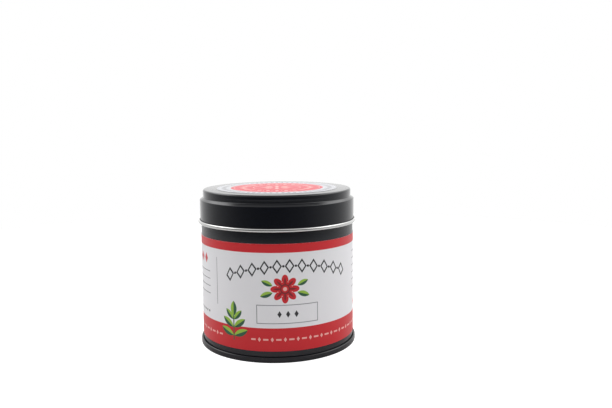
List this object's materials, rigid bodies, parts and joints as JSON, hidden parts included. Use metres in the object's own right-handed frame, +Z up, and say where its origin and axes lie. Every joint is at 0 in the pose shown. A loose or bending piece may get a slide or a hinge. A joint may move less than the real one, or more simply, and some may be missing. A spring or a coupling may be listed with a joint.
{
  "type": "spice tin",
  "caption": "Round lacquered tinplate spice tin with a push-on lid, a bare curled lid edge, a seamed bottom, a paper wrap label and a lid sticker.",
  "frame": {"origin": "centre of the base, on the surface that the tin stands on", "axes": "+Z up along the can's axis; the front of the label faces -Y, and its ends meet at +Y"},
  "size_m": [0.069, 0.069, 0.0669],
  "materials": {
    "can_lacquer": "black satin lacquer outside, bare tinplate inside",
    "end_lacquer": "black satin lacquer outside, bare tinplate inside",
    "lid_lacquer": "black satin lacquer outside, bare tinplate inside and on the curl",
    "label_paper": "semi-gloss printed paper, light grey with red bands",
    "sticker_paper": "semi-gloss printed paper, red disc in a white ring"
  },
  "bodies": {
    "can": {"can_wall": "can_lacquer", "can_bottom": "end_lacquer", "wrap_label": "label_paper"},
    "lid": {"lid": "lid_lacquer", "lid_sticker": "sticker_paper"}
  },
  "joints": [
    {"name": "lid_slide", "type": "slide", "parent": "can", "child": "lid", "axis": [0, 0, 1], "range_m": [0, 0.02]}
  ]
}
